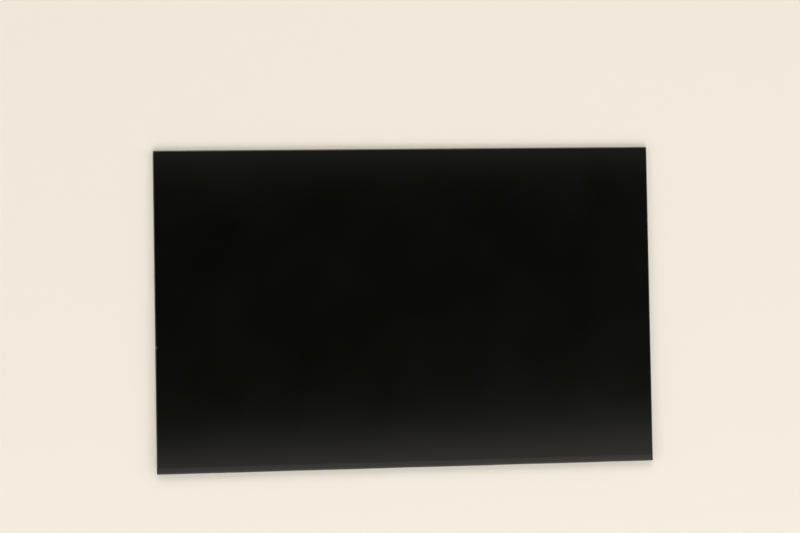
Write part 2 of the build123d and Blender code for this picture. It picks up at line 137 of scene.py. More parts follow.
def start_finish(name, base, settings):
    """A new material with plain values on its shader, its tree, its shader and coordinates in metres."""
    material = bpy.data.materials.new(name)
    material.use_nodes = True
    tree = material.node_tree
    shader = tree.nodes["Principled BSDF"]
    shader.inputs["Base Color"].default_value = colour(base)
    for socket, value in settings.items():
        shader.inputs[socket].default_value = value
    place = add_node(tree, "ShaderNodeTexCoord", {}).outputs["Object"]
    return material, tree, shader, place


def dress(material, *names):
    """Give solids that keep their shape a new material."""
    for name in names:
        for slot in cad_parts[name].material_slots:
            slot.material = material
    print(material.name, "on", ", ".join(names))


# %% [markdown]
# ## The floor
# The panel rests on three points: the connector's shell near the lower edge and the upper ends of two raised
# lands. Its own frame is level, so the floor leans by the same half degree instead. The slope is the
# flattest line from the connector's shell that still clears every other corner. Far from the panel the paper
# turns into plain light of its own colour, so that it runs into the surround without a horizon.

# %% Floor
def mesh_object(name, points, faces):
    """A mesh object from points in metres and faces, linked to the scene."""
    mesh = bpy.data.meshes.new(name)
    mesh.from_pydata(points, [], faces)
    made = bpy.data.objects.new(name, mesh)
    bpy.context.scene.collection.objects.link(made)
    return made


corners = [vertex.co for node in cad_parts.values() for vertex in node.data.vertices]
touching = 0.01 * mm
clear_of_foot = 1.0 * mm
foot = max((point for point in corners if point.z < cad_low.z + touching), key=lambda point: point.y)
beyond = [point for point in corners if point.y > foot.y + clear_of_foot]
slope = min((point.z - foot.z) / (point.y - foot.y) for point in beyond)
floor_reach = 6.0
floor_edge = [(x * floor_reach, y * floor_reach) for x, y in ((-1, -1), (1, -1), (1, 1), (-1, 1))]
floor_points = [(x, y, foot.z + slope * (y - foot.y) - touching) for x, y in floor_edge]
floor = mesh_object("floor", floor_points, [(0, 1, 2, 3)])

# Uncoated paper scatters light evenly, and its fibres keep it from looking like plain paint.
floor_tone = "#f2ece1"
fibre_size, fibre_depth = 1.2, 0.02 * mm
fade_start, fade_end = 300 * mm, 800 * mm
paper, tree, shader, place = start_finish("uncoated_paper", floor_tone, {"Roughness": 0.9})
fibre = add_node(tree, "ShaderNodeTexNoise", {"Scale": per_metre(fibre_size)}, {"Vector": place})
fibre_relief = add_node(
    tree,
    "ShaderNodeBump",
    {"Strength": 0.2, "Distance": fibre_depth},
    {"Height": fibre.outputs["Fac"]},
)
tree.links.new(fibre_relief.outputs["Normal"], shader.inputs["Normal"])
away = add_node(tree, "ShaderNodeVectorMath", {"operation": "LENGTH"}, {0: place})
far = add_node(
    tree,
    "ShaderNodeMapRange",
    {"From Min": fade_start, "From Max": fade_end, "interpolation_type": "SMOOTHSTEP"},
    {"Value": away.outputs["Value"]},
)
glow = add_node(tree, "ShaderNodeEmission", {"Color": colour(floor_tone)})
both = add_node(
    tree,
    "ShaderNodeMixShader",
    {},
    {0: far.outputs["Result"], 1: shader.outputs["BSDF"], 2: glow.outputs["Emission"]},
)
tree.links.new(both.outputs["Shader"], tree.nodes["Material Output"].inputs["Surface"])
paper.cycles.emission_sampling = "NONE"
floor.data.materials.append(paper)
print("floor leans by", round(math.degrees(math.atan(slope)), 2), "degrees")

# %% [markdown]
# ## Light
# The light is plain and soft: a pale surround and a broad lamp beyond each edge. Straight overhead it is
# dark, because a black screen seen from the front shows whatever hangs above it. A lamp's energy follows
# from its distance, its height and the share of the full light that it gives the floor.

# %% Surround and lamps
world = bpy.data.worlds.new("pale_surround")
bpy.context.scene.world = world
world.use_nodes = True
sky = world.node_tree
direction = add_node(sky, "ShaderNodeTexCoord", {}).outputs["Generated"]
height = add_node(sky, "ShaderNodeSeparateXYZ", {}, {"Vector": direction}).outputs["Z"]
surround = add_node(
    sky,
    "ShaderNodeValToRGB",
    {},
    {"Fac": height},
    stops=((0.0, floor_tone), (0.4, floor_tone), (0.75, "#2e2d2a"), (0.93, "#0c0c0b")),
)
sky.links.new(surround.outputs["Color"], sky.nodes["Background"].inputs["Color"])


def add_lamp(name, bearing, climb, away, size, share):
    """A square soft lamp, aimed at the panel, that gives the floor a share of the full light."""
    bearing, climb = math.radians(bearing), math.radians(climb)
    lamp = bpy.data.objects.new(name, bpy.data.lights.new(name, "AREA"))
    lamp.data.size = size
    lamp.data.energy = share * (math.pi * away) ** 2 / math.sin(climb)
    level = Vector((math.sin(bearing), math.cos(bearing), 0.0)) * math.cos(climb)
    toward = level + Vector((0.0, 0.0, math.sin(climb)))
    turn = toward.to_track_quat("Z", "Y").to_matrix().to_4x4()
    lamp.matrix_world = Matrix.Translation(toward * away) @ turn
    bpy.context.scene.collection.objects.link(lamp)
    print(name, "energy in W:", round(lamp.data.energy, 2))


# Bearing from the upper edge and climb in degrees, distance and size in metres, share of the light.
lamps = [
    ("upper_lamp", 0.0, 38.0, 2.2, 1.2, 0.23),
    ("lower_lamp", 180.0, 38.0, 1.8, 1.1, 0.3),
    ("left_lamp", -95.0, 35.0, 2.2, 1.1, 0.1),
    ("right_lamp", 95.0, 35.0, 2.2, 1.1, 0.13),
]
for settings in lamps:
    add_lamp(*settings)

# %% [markdown]
# ## Reflections
# A black surface is shaped by what it reflects. Two pale cards stand beyond the lower and upper edges, and
# only reflections see them. The strong one greys the screen's lower part, and the faint one lifts its upper
# edge. Each card fades with height, so that no hard line crosses the screen.

# %% Cards that only reflections see
card_width = 1200 * mm
card_gap = 4 * mm


def add_card(name, y, height, strength, lean):
    """An upright card that fades with height. lean lifts the fade towards +X."""
    edge = [(side * card_width / 2, y, z) for z in (0.0, height) for side in (-1, 1)]
    card = mesh_object(name, edge, [(0, 1, 3, 2)])
    for kind in ("camera", "diffuse", "transmission", "volume_scatter", "shadow"):
        setattr(card, f"visible_{kind}", False)
    paint = bpy.data.materials.new(f"{name}_paint")
    paint.use_nodes = True
    tree = paint.node_tree
    tree.nodes.remove(tree.nodes["Principled BSDF"])
    place = add_node(tree, "ShaderNodeTexCoord", {}).outputs["Object"]
    axes = add_node(tree, "ShaderNodeSeparateXYZ", {}, {"Vector": place}).outputs
    level = add_node(
        tree, "ShaderNodeMath", {"operation": "MULTIPLY_ADD", 1: -lean}, {0: axes["X"], 2: axes["Z"]}
    )
    fade = add_node(
        tree,
        "ShaderNodeMapRange",
        {"From Max": height, "To Min": strength, "To Max": 0.0, "interpolation_type": "SMOOTHSTEP"},
        {"Value": level.outputs["Value"]},
    )
    glow = add_node(
        tree, "ShaderNodeEmission", {"Color": colour(floor_tone)}, {"Strength": fade.outputs["Result"]}
    )
    tree.links.new(glow.outputs["Emission"], tree.nodes["Material Output"].inputs["Surface"])
    card.data.materials.append(paint)
    print(name, "height in mm:", round(height / mm))


add_card("lower_card", y=cad_low.y - card_gap, height=300 * mm, strength=1.0, lean=0.17)
add_card("upper_card", y=cad_high.y + card_gap, height=240 * mm, strength=0.32, lean=0.0)

bpy.context.scene.view_settings.view_transform = "Standard"

# %% [markdown]
# ## The screen's face
# The black face is a polarising film of cellulose triacetate, with a matte hard coat against glare. The cell
# behind it is off and lets no light back, so the colour is almost black with a trace of green, and nearly
# all that is seen is the coat's blurred reflection. The coat's pimples are a few hundredths of a millimetre
# across. They blur the reflection through roughness, and are drawn coarser in the relief so that they show.

# %% Matte polariser
handling_size = 45.0
pimple_size, pimple_depth = 0.6, 0.004 * mm
matte_film, tree, shader, place = start_finish("triacetate_matte_hard_coat", "#040502", {"IOR": 1.49})
handling = add_node(
    tree, "ShaderNodeTexNoise", {"Scale": per_metre(handling_size), "Detail": 3.0}, {"Vector": place}
)
tone = add_node(
    tree,
    "ShaderNodeValToRGB",
    {},
    {"Fac": handling.outputs["Fac"]},
    stops=((0.35, "#030401"), (0.65, "#050603")),
)
gloss = add_node(
    tree, "ShaderNodeMapRange", {"To Min": 0.22, "To Max": 0.27}, {"Value": handling.outputs["Fac"]}
)
pimples = add_node(
    tree, "ShaderNodeTexNoise", {"Scale": per_metre(pimple_size), "Detail": 1.0}, {"Vector": place}
)
relief = add_node(
    tree,
    "ShaderNodeBump",
    {"Strength": 0.15, "Distance": pimple_depth},
    {"Height": pimples.outputs["Fac"]},
)
tree.links.new(tone.outputs["Color"], shader.inputs["Base Color"])
tree.links.new(gloss.outputs["Result"], shader.inputs["Roughness"])
tree.links.new(relief.outputs["Normal"], shader.inputs["Normal"])
print(matte_film.name, "has", len(tree.nodes), "nodes")

# %% [markdown]
# ## Plain finishes with a drifting tone
# Moulded plastics, tapes, inks and ceramics have no pattern that the eye names, but none of them is one flat
# colour. Their tone drifts over a few millimetres and a fine grit breaks up the highlight. One function makes
# such a finish from two shades, the size of the patches, the size of the grit and its depth.

# %% Mottled finishes
def mottled(name, shades, patch, grit, depth, settings):
    """A finish that drifts between two shades, over a fine relief. Lengths are in millimetres."""
    material, tree, shader, place = start_finish(name, shades[0], settings)
    drift = add_node(
        tree, "ShaderNodeTexNoise", {"Scale": per_metre(patch), "Detail": 3.0}, {"Vector": place}
    )
    tone = add_node(
        tree,
        "ShaderNodeValToRGB",
        {},
        {"Fac": drift.outputs["Fac"]},
        stops=((0.35, shades[0]), (0.65, shades[1])),
    )
    grain = add_node(
        tree, "ShaderNodeTexNoise", {"Scale": per_metre(grit), "Detail": 2.0}, {"Vector": place}
    )
    relief = add_node(tree, "ShaderNodeBump", {"Distance": depth * mm}, {"Height": grain.outputs["Fac"]})
    tree.links.new(tone.outputs["Color"], shader.inputs["Base Color"])
    tree.links.new(relief.outputs["Normal"], shader.inputs["Normal"])
    return material


# Spark-eroded moulds leave polycarbonate with a dull even grain.
frame_plastic = mottled(
    "moulded_black_polycarbonate", ("#33312a", "#3c3a31"),
    patch=8.0, grit=0.3, depth=0.004, settings={"Roughness": 0.5, "IOR": 1.58},
)
dress(frame_plastic, "mid_frame")

# Transfer-moulded epoxy is dark grey, with the fine matt skin of its mould.
moulded_epoxy = mottled(
    "moulded_black_epoxy", ("#1d1e20", "#26272a"),
    patch=1.5, grit=0.12, depth=0.004, settings={"Roughness": 0.55, "IOR": 1.55},
)
dress(moulded_epoxy, "timing_controller", "power_chip", "level_shifter", "backlight_driver", "setting_memory")

# Pressed and sintered ferrite is a dull charcoal ceramic.
sintered_ferrite = mottled(
    "sintered_ferrite", ("#33322f", "#3f3d3a"),
    patch=0.8, grit=0.15, depth=0.006, settings={"Roughness": 0.7, "IOR": 2.0},
)

# Sawn and polished silicon is a dark grey mirror with a blue cast.
sawn_silicon = mottled(
    "sawn_silicon", ("#2c3038", "#343943"),
    patch=2.0, grit=0.2, depth=0.001, settings={"Roughness": 0.2, "IOR": 3.5},
)
dress(sawn_silicon, *[f"source_chip_{number}" for number in (1, 2, 3, 4)])

# Liquid crystal polymer fills thin walls well and comes out of the mould a dull ivory.
ivory_polymer = mottled(
    "moulded_ivory_polymer", ("#d8cfb8", "#e1d9c5"),
    patch=2.5, grit=0.15, depth=0.004, settings={"Roughness": 0.55, "IOR": 1.6},
)

# %% [markdown]
# ## Sheets inside the stack
# Behind the glass lie the sheets that make its light. A row of lamps shines into a clear plate, a white sheet
# throws the light back out of it, and films spread and aim it. They are cut from cast sheet and rolled film,
# so the same function serves. Only their edges could ever show once the panel is closed.

# %% Light sheets and tapes
# White voided polyester throws the light forward, and the films over it even it out.
voided_film = mottled(
    "white_voided_polyester", ("#efefeb", "#f4f4f1"),
    patch=20.0, grit=0.5, depth=0.002, settings={"Roughness": 0.6, "IOR": 1.58},
)
dress(voided_film, "reflector_sheet")
# Cast acrylic is water-clear. Seen against the white sheet it takes on that white with a cool cast.
clear_acrylic = mottled(
    "cast_clear_acrylic", ("#dfe7e4", "#e6edea"),
    patch=30.0, grit=0.6, depth=0.004, settings={"Roughness": 0.1, "IOR": 1.49},
)
dress(clear_acrylic, "light_guide")
# Embossed ribs and beads turn clear polyester film milky.
milky_film = mottled(
    "embossed_polyester_film", ("#d9dcdb", "#e2e4e3"),
    patch=25.0, grit=0.4, depth=0.004, settings={"Roughness": 0.35, "IOR": 1.6},
)
dress(milky_film, "diffuser_film", "lower_prism_film", "upper_prism_film")
# Iodine-dyed film is a smooth grey-green, without the front film's matte coat.
dark_film = mottled(
    "dyed_polarising_film", ("#22251f", "#272a24"),
    patch=30.0, grit=0.5, depth=0.001, settings={"Roughness": 0.15, "IOR": 1.49},
)
dress(dark_film, "rear_polariser")
# Acrylic transfer tape is clear, and yellows a little.
clear_tape = mottled(
    "clear_acrylic_tape", ("#cfcabb", "#d8d4c8"),
    patch=6.0, grit=0.5, depth=0.004, settings={"Roughness": 0.3, "IOR": 1.47},
)
dress(clear_tape, "light_bar_tape", "board_tape")
# The tape under the glass is black, so that no light leaks round the picture.
shading_tape = mottled(
    "black_transfer_tape", ("#141311", "#1a1916"),
    patch=6.0, grit=0.5, depth=0.004, settings={"Roughness": 0.6, "IOR": 1.47},
)
dress(shading_tape, "cell_tape")
# White polyamide cups hold the lamps.
lamp_moulding = mottled(
    "moulded_white_polyamide", ("#ecebe4", "#f3f2ee"),
    patch=1.5, grit=0.15, depth=0.003, settings={"Roughness": 0.5, "IOR": 1.53},
)
dress(lamp_moulding, "light_bar_leds")

# %% [markdown]
# ## Finishes with a cut edge
# Some sheets look different on their faces and on their cut edges. The cell's glass shows the olive seal
# behind its border, but its edges are ground dull and pale so that they don't chip. A circuit board is green
# on its faces and shows straw-coloured glass fibre where it was routed. A chip resistor is white alumina with
# a black glaze on top. The direction of the surface tells the two apart, and a second function turns a
# finish to another shade along one side of a sheet.

# %% Shades by place
# The sockets of a mix of colours: its share, its two colours, and what comes out.
mix_share, mix_first, mix_second, mixed = 0, 6, 7, 2


def turn_shade(tree, measure, start, end, code):
    """Turn a finish to another shade as a measure in metres runs between two lengths in millimetres."""
    shader = tree.nodes["Principled BSDF"]
    share = add_node(
        tree, "ShaderNodeMapRange", {"From Min": start * mm, "From Max": end * mm}, {"Value": measure}
    )
    both = add_node(
        tree,
        "ShaderNodeMix",
        {"data_type": "RGBA", mix_second: colour(code)},
        {mix_share: share.outputs["Result"], mix_first: shader.inputs["Base Color"].links[0].from_socket},
    )
    tree.links.new(both.outputs[mixed], shader.inputs["Base Color"])


# %% Glass, board and glaze
# How far a surface looks up or down: less than the first is a cut edge, more than the second a face.
edge_facing, face_facing = 0.5, 0.9


def edged(name, shades, edge, patch, grit, depth, smooth, ground, settings):
    """A mottled finish on faces that lie flat, and a plain duller one on cut edges."""
    material = mottled(name, shades, patch, grit, depth, settings)
    tree = material.node_tree
    shader = tree.nodes["Principled BSDF"]
    facing = add_node(tree, "ShaderNodeNewGeometry", {}).outputs["Normal"]
    upright = add_node(tree, "ShaderNodeSeparateXYZ", {}, {"Vector": facing}).outputs["Z"]
    steep = add_node(tree, "ShaderNodeMath", {"operation": "ABSOLUTE"}, {0: upright})
    flat = add_node(
        tree,
        "ShaderNodeMapRange",
        {"From Min": edge_facing, "From Max": face_facing},
        {"Value": steep.outputs["Value"]},
    )
    face_tone = shader.inputs["Base Color"].links[0].from_socket
    both = add_node(
        tree,
        "ShaderNodeMix",
        {"data_type": "RGBA", mix_first: colour(edge)},
        {mix_share: flat.outputs["Result"], mix_second: face_tone},
    )
    dull = add_node(
        tree, "ShaderNodeMapRange", {"To Min": ground, "To Max": smooth}, {"Value": flat.outputs["Result"]}
    )
    tree.links.new(both.outputs[mixed], shader.inputs["Base Color"])
    tree.links.new(dull.outputs["Result"], shader.inputs["Roughness"])
    return material


# Display glass over its olive seal, with ground edges. Along the upper edge the seal is painted paler, a
# painted highlight for light catching that edge, and along the lower edge the glass is printed black.
cell_glass = edged(
    "ground_display_glass", ("#514e3a", "#595641"), edge="#6a6b60",
    patch=30.0, grit=0.5, depth=0.001, smooth=0.08, ground=0.5, settings={"IOR": 1.51},
)
tree = cell_glass.node_tree
place = add_node(tree, "ShaderNodeTexCoord", {}).outputs["Object"]
axes = add_node(tree, "ShaderNodeSeparateXYZ", {}, {"Vector": place}).outputs
painted_top_highlight = (96.5, 97.8)
black_print = (-93.9, -94.2)
# Painted highlight: the seal turns paler along the upper edge, standing in for light that falls on that edge.
turn_shade(tree, axes["Y"], *painted_top_highlight, "#807b64")
turn_shade(tree, axes["Y"], *black_print, "#0c0c0a")
# Epoxy and glass fibre under a dark green solder mask.
masked_board = edged(
    "solder_masked_laminate", ("#123a28", "#174631"), edge="#a89a68",
    patch=3.0, grit=0.4, depth=0.004, smooth=0.32, ground=0.7, settings={"IOR": 1.52},
)
dress(masked_board, "timing_board")
# Alumina under a fired black glaze.
glazed_alumina = edged(
    "glazed_alumina", ("#17181a", "#1f2022"), edge="#dcdad2",
    patch=0.6, grit=0.15, depth=0.002, smooth=0.28, ground=0.5, settings={"IOR": 1.76},
)

# %% [markdown]
# ## Metals
# The rear cover is aluminium sheet, rolled and then pressed. Rolling leaves streaks along the sheet, which a
# noise pattern stretched along X gives. They are drawn about a millimetre wide, coarser than real ones, so
# that they show. The small metals need only a drifting tone: tin on the connector's steel shell, on end caps
# and in solder, and gold on the contacts. A metal's colour is its reflection, so the shades are pale.

# %% Rolled aluminium
rolled_aluminium, tree, shader, place = start_finish("rolled_aluminium_sheet", "#b9babb", {"Metallic": 1.0})
streak_length, streak_width, streak_depth = 90.0, 0.7, 0.002 * mm
rub_size = 60.0
stretched = add_node(
    tree,
    "ShaderNodeMapping",
    {"Scale": (per_metre(streak_length), per_metre(streak_width), per_metre(streak_width))},
    {"Vector": place},
)
streaks = add_node(
    tree, "ShaderNodeTexNoise", {"Scale": 1.0, "Detail": 4.0}, {"Vector": stretched.outputs["Vector"]}
)
handling = add_node(
    tree, "ShaderNodeTexNoise", {"Scale": per_metre(rub_size), "Detail": 2.0}, {"Vector": place}
)
tone = add_node(
    tree,
    "ShaderNodeValToRGB",
    {},
    {"Fac": streaks.outputs["Fac"]},
    stops=((0.3, "#b3b4b5"), (0.7, "#c1c2c2")),
)
gloss = add_node(
    tree, "ShaderNodeMapRange", {"To Min": 0.28, "To Max": 0.48}, {"Value": handling.outputs["Fac"]}
)
relief = add_node(tree, "ShaderNodeBump", {"Distance": streak_depth}, {"Height": streaks.outputs["Fac"]})
tree.links.new(tone.outputs["Color"], shader.inputs["Base Color"])
tree.links.new(gloss.outputs["Result"], shader.inputs["Roughness"])
tree.links.new(relief.outputs["Normal"], shader.inputs["Normal"])
dress(rolled_aluminium, "rear_cover")

# %% Foil and plated metals
# Foil laid by hand keeps small crinkles that sparkle.
crinkled_foil = mottled(
    "crinkled_aluminium_foil", ("#b4b5b6", "#d2d3d3"),
    patch=2.0, grit=1.4, depth=0.06, settings={"Metallic": 1.0, "Roughness": 0.3},
)
dress(crinkled_foil, "ground_foil_left", "ground_foil_right")
# Tin plate on thin steel is a soft warm grey, bright where it is flat.
tin_plate = mottled(
    "tin_plated_steel", ("#b5b0a6", "#c4c0b7"),
    patch=1.5, grit=0.3, depth=0.002, settings={"Metallic": 1.0, "Roughness": 0.25},
)
# A thin gold flash over nickel is paler than jewellery.
gold_flash = mottled(
    "gold_flashed_copper", ("#cda452", "#dbb868"),
    patch=0.8, grit=0.2, depth=0.001, settings={"Metallic": 1.0, "Roughness": 0.25},
)
dress(gold_flash, "connector_contacts")
# Tin that has melted and set again is bright, with faint grains.
bright_tin = mottled(
    "reflowed_tin", ("#b9babc", "#cfd0d1"),
    patch=0.5, grit=0.25, depth=0.006, settings={"Metallic": 1.0, "Roughness": 0.3},
)

# %% [markdown]
# ## Flexible circuits
# The drive films and the light bar's tail are polyimide, a clear amber plastic, with copper lines etched on
# it. The real lines are a few hundredths of a millimetre apart. They are drawn 0.4 mm apart so that they can
# be seen. A wave pattern gives them: its bands repeat every 2 pi / 20 divided by the scale.

# %% Etched polyimide
etched_polyimide, tree, shader, place = start_finish(
    "etched_polyimide", "#8a5f22", {"Roughness": 0.28, "IOR": 1.7}
)
line_step, line_depth = 0.4, 0.01 * mm
lines = add_node(
    tree,
    "ShaderNodeTexWave",
    {"Scale": 2.0 * math.pi / 20.0 * per_metre(line_step), "bands_direction": "X"},
    {"Vector": place},
)
tone = add_node(
    tree,
    "ShaderNodeValToRGB",
    {},
    {"Fac": lines.outputs["Fac"]},
    stops=((0.4, "#6f4a1a"), (0.6, "#a8752f")),
)
relief = add_node(tree, "ShaderNodeBump", {"Distance": line_depth}, {"Height": lines.outputs["Fac"]})
tree.links.new(tone.outputs["Color"], shader.inputs["Base Color"])
tree.links.new(relief.outputs["Normal"], shader.inputs["Normal"])
dress(etched_polyimide, "light_bar_flex", *[f"source_film_{number}" for number in (1, 2, 3, 4)])

# %% [markdown]
# ## Building pieces in millimetres
# The small pieces are drawn in bmesh, in millimetres, and scaled to metres once. A block is a box with its
# edges rounded. A sweep skins a row of closed outlines, which serves for copper tracks, for solder and for
# anything turned. A softened copy takes a solid's own mesh and rounds its sharp edges, because no real edge
# is perfectly sharp and the rounding is what catches the light.

# %% Blocks and sweeps
sharp_bend = math.radians(35)
# A millionth short, so that rounding never carries a piece past the solids.
to_metres = mm * (1 - 1e-6)


def new_piece(name, bm, materials, stands_for=None):
    """Turn a mesh drawn in millimetres into a piece that rides with the panel."""
    bmesh.ops.recalc_face_normals(bm, faces=bm.faces)
    bmesh.ops.scale(bm, vec=(to_metres, to_metres, to_metres), verts=bm.verts)
    mesh = bpy.data.meshes.new(name)
    bm.to_mesh(mesh)
    bm.free()
    for material in materials:
        mesh.materials.append(material)
    mesh.shade_smooth()
    mesh.set_sharp_from_angle(angle=sharp_bend)
    piece = bpy.data.objects.new(name, mesh)
    bpy.context.scene.collection.objects.link(piece)
    piece.modifiers.new("flat_faces_lead", "WEIGHTED_NORMAL").keep_sharp = True
    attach(piece, "root")
    if stands_for:
        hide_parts(stands_for)
    print(name, "has", len(mesh.polygons), "faces")


def add_block(bm, low, high, rounding, slot=0):
    """A box between two corners, with rounded edges."""
    before = set(bm.faces)
    points = bmesh.ops.create_cube(bm, size=1.0)["verts"]
    bmesh.ops.scale(bm, vec=high - low, verts=points)
    bmesh.ops.translate(bm, vec=(low + high) / 2, verts=points)
    edges = list({edge for point in points for edge in point.link_edges})
    bmesh.ops.bevel(bm, geom=edges, offset=rounding, segments=2, profile=0.5, affect="EDGES")
    for face in set(bm.faces) - before:
        face.material_index = slot


def add_sweep(bm, sections, slot=0):
    """A skin over a row of closed outlines, closed at both ends."""
    rings = [[bm.verts.new(point) for point in section] for section in sections]
    faces = [bm.faces.new(rings[0]), bm.faces.new(rings[-1])]
    for near, far in zip(rings, rings[1:]):
        for one, two in zip(range(len(near)), [*range(1, len(near)), 0]):
            faces.append(bm.faces.new((near[one], near[two], far[two], far[one])))
    for face in faces:
        face.material_index = slot


# %% Softened copies
same_point = 0.001
flat_bend = math.radians(1)


def welded(node):
    """A solid's own mesh in millimetres, with its split corners joined and its flat faces whole."""
    bm = bmesh.new()
    bm.from_mesh(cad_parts[node].data)
    bmesh.ops.scale(bm, vec=(1 / mm, 1 / mm, 1 / mm), verts=bm.verts)
    bmesh.ops.remove_doubles(bm, verts=bm.verts, dist=same_point)
    bmesh.ops.dissolve_limit(bm, angle_limit=flat_bend, verts=bm.verts, edges=bm.edges)
    return bm


def soften(node, rounding, material):
    """A copy of a solid with its sharp edges rounded, shown in its place."""
    bm = welded(node)
    sharp = [edge for edge in bm.edges if edge.is_manifold and edge.calc_face_angle() > sharp_bend]
    bmesh.ops.bevel(bm, geom=sharp, offset=rounding, segments=2, profile=0.5, affect="EDGES")
    new_piece(f"{node}_softened", bm, [material], node)


glass_round, moulding_round, shell_round = 0.06, 0.04, 0.03
soften("colour_filter_glass", glass_round, cell_glass)
soften("array_glass", glass_round, cell_glass)
soften("connector_housing", moulding_round, ivory_polymer)
soften("connector_shell", shell_round, tin_plate)

# %% [markdown]
# ## Tape over the folded edge
# A strip of thin black polyester tape covers the drive films where they bend round the lower edge. It is
# matte, and pressed down between the films, so it stands up a little over each of them. The solid is one
# even wrap. A copy is cut across beside each film, and what lies between the films is sunk towards the
# middle of the bend.

# %% Black tape
def span(node):
    """The lowest and highest corner of a solid, in millimetres."""
    low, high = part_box(node)
    return low / mm, high / mm


cut_snap = 0.0001


def cut_across(bm, place, direction):
    """Cut a mesh along a plane and keep both sides."""
    everything = [*bm.verts, *bm.edges, *bm.faces]
    bmesh.ops.bisect_plane(bm, geom=everything, dist=cut_snap, plane_co=place, plane_no=direction)


films = [span(f"source_film_{number}") for number in (1, 2, 3, 4)]
rise_width, film_rise = 0.6, 0.06
tape_low, tape_high = span("edge_tape")
bend_radius = (tape_high.z - tape_low.z) / 2
bend_y, bend_z = tape_low.y + bend_radius, tape_low.z + bend_radius

tape = welded("edge_tape")
for low, high in films:
    for x in (low.x - rise_width, low.x, high.x, high.x + rise_width):
        cut_across(tape, (x, 0, 0), (1, 0, 0))
for point in tape.verts:
    gap = min(max(low.x - point.co.x, point.co.x - high.x, 0.0) for low, high in films)
    inward = Vector((0.0, max(bend_y - point.co.y, 0.0), bend_z - point.co.z))
    point.co += inward.normalized() * film_rise * min(gap / rise_width, 1.0)

# Cast polyester film is smooth, and its black ink gives a soft sheen.
black_tape = mottled(
    "black_polyester_tape", ("#0e0d0b", "#13120f"),
    patch=6.0, grit=0.5, depth=0.006, settings={"Roughness": 0.3, "IOR": 1.58},
)
new_piece("edge_tape_wrapped", tape, [black_tape], "edge_tape")
print("radius of the bend in mm:", round(bend_radius, 3))

# %% [markdown]
# ## Nicks in the face film
# The film's cut edge has been caught in two places, one at each side, and the olive border of the glass
# shows in the nicks. They are made as the tape was: a copy of the film is cut across in a few lines, and the
# points of its edge are drawn in along a curve.

# %% Nicked film
film_low, film_high = span("front_polariser")
nick_steps = 4
nick_skew = 0.3
on_edge = 0.01
# The side, the edge's X, and the nick's middle, depth and half its length in millimetres.
nicks = [(-1, film_low.x, -21.3, 0.7, 1.5), (1, film_high.x, 52.3, 0.35, 1.0)]

film = welded("front_polariser")
for side, edge_x, middle, depth, reach in nicks:
    for step in range(-nick_steps, nick_steps + 1):
        y = middle + reach * step / nick_steps
        cut_across(film, (0, y, 0), (0, 1, 0))
    for point in film.verts:
        share = (point.co.y - middle) / reach
        if abs(point.co.x - edge_x) < on_edge and abs(share) < 1.0:
            point.co.x -= side * depth * (1.0 - share**2) * (1.0 - nick_skew * share)
bmesh.ops.dissolve_limit(film, angle_limit=flat_bend, verts=film.verts, edges=film.edges)
new_piece("front_polariser_nicked", film, [matte_film], "front_polariser")

# %% [markdown]
# ## Parts soldered to the board
# Chip capacitors and resistors are little bars of ceramic with tinned ends, and solder climbs each end in a
# hollow curve. The solids give the place and size of every part, one plain bar each, so the bars are found by
# following joined edges through the mesh. Each one is then replaced by a body, two caps and two fillets of
# solder. The board's parts face away from the screen, so the solder rises towards -Z.

# %% Chip parts
def solid_boxes(node):
    """The corners of every separate bar in a solid, in millimetres, from left to right."""
    bm = welded(node)
    waiting = set(bm.verts)
    boxes = []
    while waiting:
        joined = [waiting.pop()]
        for point in joined:
            found = {edge.other_vert(point) for edge in point.link_edges} & waiting
            waiting -= found
            joined.extend(found)
        rows = list(zip(*[point.co for point in joined]))
        boxes.append((Vector(map(min, rows)), Vector(map(max, rows))))
    bm.free()
    return sorted(boxes, key=lambda box: (round(box[0].x, 2), round(box[0].y, 2)))


def add_fillet(bm, foot, out, width, reach, rise, slot=0):
    """Solder that climbs a wall in a hollow curve. foot is on the board, at the middle of the wall."""
    steps = 4
    curve = [(reach * (1 - step / steps), rise * (step / steps) ** 2) for step in range(steps + 1)]
    side = Vector((out.y, -out.x, 0.0)) * width / 2
    outline = [foot + out * x - Vector((0.0, 0.0, z)) for x, z in [(0.0, 0.0), *curve]]
    add_sweep(bm, [[point - side for point in outline], [point + side for point in outline]], slot)


cap_gauge, cap_round, body_round = 0.03, 0.04, 0.03
body_under_cap, solder_climb = 0.8, 0.7


def add_chip_part(bm, low, high, cap, reach, cap_share):
    """A body in the first material, with caps and solder at both ends in the second."""
    along = 0 if high.x - low.x > high.y - low.y else 1
    body_low = low + Vector((cap_gauge, cap_gauge, cap_gauge))
    body_high = high - Vector((cap_gauge, cap_gauge, 0.0))
    body_low[along] = low[along] + cap * body_under_cap
    body_high[along] = high[along] - cap * body_under_cap
    add_block(bm, body_low, body_high, body_round)
    for end in (-1, 1):
        cap_low, cap_high, foot = low.copy(), high.copy(), (low + high) / 2
        cap_low[along] = low[along] if end < 0 else high[along] - cap
        cap_high[along] = low[along] + cap if end < 0 else high[along]
        cap_low.z = high.z - cap_share * (high.z - low.z)
        add_block(bm, cap_low, cap_high, cap_round, 1)
        foot[along] = low[along] if end < 0 else high[along]
        foot.z = high.z
        out = Vector((0.0, 0.0, 0.0))
        out[along] = end
        width = (high - low)[1 - along]
        add_fillet(bm, foot, out, width, reach, solder_climb * (high.z - cap_low.z), 1)


# Fired barium titanate is a dull tan, and alumina is a hard white.
fired_titanate = mottled(
    "fired_barium_titanate", ("#8d6f4d", "#9d7f5c"),
    patch=0.6, grit=0.15, depth=0.003, settings={"Roughness": 0.45, "IOR": 2.0},
)
white_alumina = mottled(
    "fired_white_alumina", ("#dcdad2", "#e6e4dd"),
    patch=0.8, grit=0.15, depth=0.003, settings={"Roughness": 0.5, "IOR": 1.76},
)
